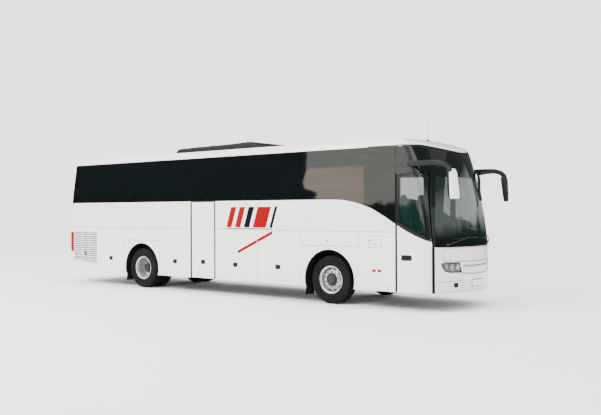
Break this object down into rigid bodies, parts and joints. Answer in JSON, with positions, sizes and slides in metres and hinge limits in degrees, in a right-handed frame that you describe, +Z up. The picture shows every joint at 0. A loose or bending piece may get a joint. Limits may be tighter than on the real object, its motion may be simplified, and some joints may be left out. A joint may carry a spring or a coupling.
{
  "type": "coach bus",
  "caption": "Full-size two-axle coach bus with opening doors, luggage flaps, fuel flap and engine lid, steering front wheels and twin rear wheels.",
  "frame": {"origin": "centre of the coach's bounding box at ground level, with wheels on the ground", "axes": "+X forward, +Y to the driver's (left) side, +Z up"},
  "size_m": [12.293, 2.68, 3.9249],
  "materials": {
    "body_white": "gloss",
    "roof_white": "gloss",
    "dark_glass": "gloss",
    "clear_glass": "gloss",
    "lamp_glass": "gloss",
    "red_lens": "gloss",
    "black_trim": "satin",
    "chassis_black": "matte",
    "engine_metal": "matte",
    "dash_plastic": "matte",
    "seat_fabric": "woven",
    "unit_black": "satin",
    "mirror_housing": "satin",
    "tyre_rubber": "matte",
    "rim_steel": "satin",
    "forged_iron": "matte"
  },
  "bodies": {
    "coach_body": {"cabin_floor": "chassis_black", "wall_rails": "chassis_black", "hold_floor": "chassis_black", "bulkheads": "chassis_black", "frame_rails": "chassis_black", "driver_platform": "chassis_black", "middle_steps": "chassis_black", "side_wall_right": "body_white", "side_wall_left": "body_white", "lower_panels_right": "body_white", "lower_panels_left": "body_white", "side_glass_right": "dark_glass", "side_glass_left": "dark_glass", "roof": "roof_white", "rear_wall": "body_white", "rear_window": "dark_glass", "tail_lamps": "red_lens", "front_panel": "body_white", "front_flap": "body_white", "headlamps": "lamp_glass", "front_bumper": "body_white", "windscreen": "clear_glass", "front_frame": "black_trim", "engine_block": "engine_metal", "dashboard": "dash_plastic", "steering_wheel": "dash_plastic", "driver_seat": "seat_fabric", "passenger_seats": "seat_fabric", "roof_ac_unit": "unit_black", "antenna": "black_trim", "mirror_right": "mirror_housing", "mirror_left": "mirror_housing", "front_axle": "forged_iron", "rear_axle": "forged_iron"},
    "knuckle_right": {"knuckle_right": "forged_iron"},
    "knuckle_left": {"knuckle_left": "forged_iron"},
    "front_wheel_right": {"front_tyre_right": "tyre_rubber", "front_rim_right": "rim_steel"},
    "front_wheel_left": {"front_tyre_left": "tyre_rubber", "front_rim_left": "rim_steel"},
    "rear_wheels_right": {"rear_tyres_right": "tyre_rubber", "rear_rims_right": "rim_steel"},
    "rear_wheels_left": {"rear_tyres_left": "tyre_rubber", "rear_rims_left": "rim_steel"},
    "front_door_arm": {"front_door_arm": "black_trim"},
    "front_door": {"front_door": "body_white", "front_door_glass": "clear_glass"},
    "middle_door_arm": {"middle_door_arm": "black_trim"},
    "middle_door": {"middle_door": "body_white"},
    "service_flap_right": {"service_flap_right": "body_white"},
    "rear_luggage_flap_right": {"rear_luggage_flap_right": "body_white"},
    "middle_luggage_flap_right": {"middle_luggage_flap_right": "body_white"},
    "front_luggage_flap_right": {"front_luggage_flap_right": "body_white"},
    "fuel_flap": {"fuel_flap": "body_white"},
    "service_flap_left": {"service_flap_left": "body_white"},
    "rear_luggage_flap_left": {"rear_luggage_flap_left": "body_white"},
    "middle_luggage_flap_left": {"middle_luggage_flap_left": "body_white"},
    "front_luggage_flap_left": {"front_luggage_flap_left": "body_white"},
    "engine_lid": {"engine_lid": "body_white"}
  },
  "joints": [
    {"name": "steer_right", "type": "hinge", "parent": "coach_body", "child": "knuckle_right", "pos_m": [3.149, -0.98, 0.5214], "axis": [0, 0, 1], "range_deg": [-40, 40]},
    {"name": "steer_left", "type": "hinge", "parent": "coach_body", "child": "knuckle_left", "pos_m": [3.149, 0.98, 0.5214], "axis": [0, 0, 1], "range_deg": [-40, 40]},
    {"name": "front_wheel_spin_right", "type": "hinge", "parent": "knuckle_right", "child": "front_wheel_right", "pos_m": [3.149, -1.075, 0.5214], "axis": [0, 1, 0], "continuous": true},
    {"name": "rear_wheel_spin_right", "type": "hinge", "parent": "coach_body", "child": "rear_wheels_right", "pos_m": [-2.931, -0.9235, 0.5214], "axis": [0, 1, 0], "continuous": true},
    {"name": "front_wheel_spin_left", "type": "hinge", "parent": "knuckle_left", "child": "front_wheel_left", "pos_m": [3.149, 1.075, 0.5214], "axis": [0, 1, 0], "continuous": true},
    {"name": "rear_wheel_spin_left", "type": "hinge", "parent": "coach_body", "child": "rear_wheels_left", "pos_m": [-2.931, 0.9235, 0.5214], "axis": [0, 1, 0], "continuous": true},
    {"name": "front_door_swing", "type": "hinge", "parent": "coach_body", "child": "front_door_arm", "pos_m": [5.499, -1.09, 1], "axis": [0, 0, 1], "range_deg": [0, 130]},
    {"name": "front_door_leaf", "type": "hinge", "parent": "front_door_arm", "child": "front_door", "pos_m": [5.014, -1.192, 1], "axis": [0, 0, 1], "range_deg": [-130, 0]},
    {"name": "middle_door_swing", "type": "hinge", "parent": "coach_body", "child": "middle_door_arm", "pos_m": [-0.966, -1.09, 1], "axis": [0, 0, -1], "range_deg": [0, 130]},
    {"name": "middle_door_leaf", "type": "hinge", "parent": "middle_door_arm", "child": "middle_door", "pos_m": [-0.491, -1.192, 1], "axis": [0, 0, -1], "range_deg": [-130, 0]},
    {"name": "service_flap_right_hinge", "type": "hinge", "parent": "coach_body", "child": "service_flap_right", "pos_m": [-4.152, -1.275, 1.562], "axis": [-1, 0, 0], "range_deg": [0, 100]},
    {"name": "rear_luggage_flap_right_hinge", "type": "hinge", "parent": "coach_body", "child": "rear_luggage_flap_right", "pos_m": [-1.651, -1.275, 1.562], "axis": [1, 0, 0], "range_deg": [-100, 0]},
    {"name": "middle_luggage_flap_right_hinge", "type": "hinge", "parent": "coach_body", "child": "middle_luggage_flap_right", "pos_m": [0.429, -1.275, 1.562], "axis": [-1, 0, 0], "range_deg": [0, 100]},
    {"name": "front_luggage_flap_right_hinge", "type": "hinge", "parent": "coach_body", "child": "front_luggage_flap_right", "pos_m": [1.749, -1.275, 1.562], "axis": [-1, 0, 0], "range_deg": [0, 100]},
    {"name": "service_flap_left_hinge", "type": "hinge", "parent": "coach_body", "child": "service_flap_left", "pos_m": [-4.152, 1.275, 1.562], "axis": [1, 0, 0], "range_deg": [0, 100]},
    {"name": "rear_luggage_flap_left_hinge", "type": "hinge", "parent": "coach_body", "child": "rear_luggage_flap_left", "pos_m": [-1.467, 1.275, 1.562], "axis": [1, 0, 0], "range_deg": [0, 100]},
    {"name": "middle_luggage_flap_left_hinge", "type": "hinge", "parent": "coach_body", "child": "middle_luggage_flap_left", "pos_m": [0.065, 1.275, 1.562], "axis": [1, 0, 0], "range_deg": [0, 100]},
    {"name": "front_luggage_flap_left_hinge", "type": "hinge", "parent": "coach_body", "child": "front_luggage_flap_left", "pos_m": [1.617, 1.275, 1.562], "axis": [1, 0, 0], "range_deg": [0, 100]},
    {"name": "fuel_flap_hinge", "type": "hinge", "parent": "coach_body", "child": "fuel_flap", "pos_m": [4.471, -1.275, 1.364], "axis": [0, 0, 1], "range_deg": [0, 120]},
    {"name": "engine_lid_hinge", "type": "hinge", "parent": "coach_body", "child": "engine_lid", "pos_m": [-6.1475, 0, 1.792], "axis": [0, 1, 0], "range_deg": [0, 85]}
  ],
  "couplings": [
    {"joint": "steer_left", "follows": "steer_right", "ratio": 1},
    {"joint": "front_door_leaf", "follows": "front_door_swing", "ratio": -1},
    {"joint": "middle_door_leaf", "follows": "middle_door_swing", "ratio": -1}
  ]
}
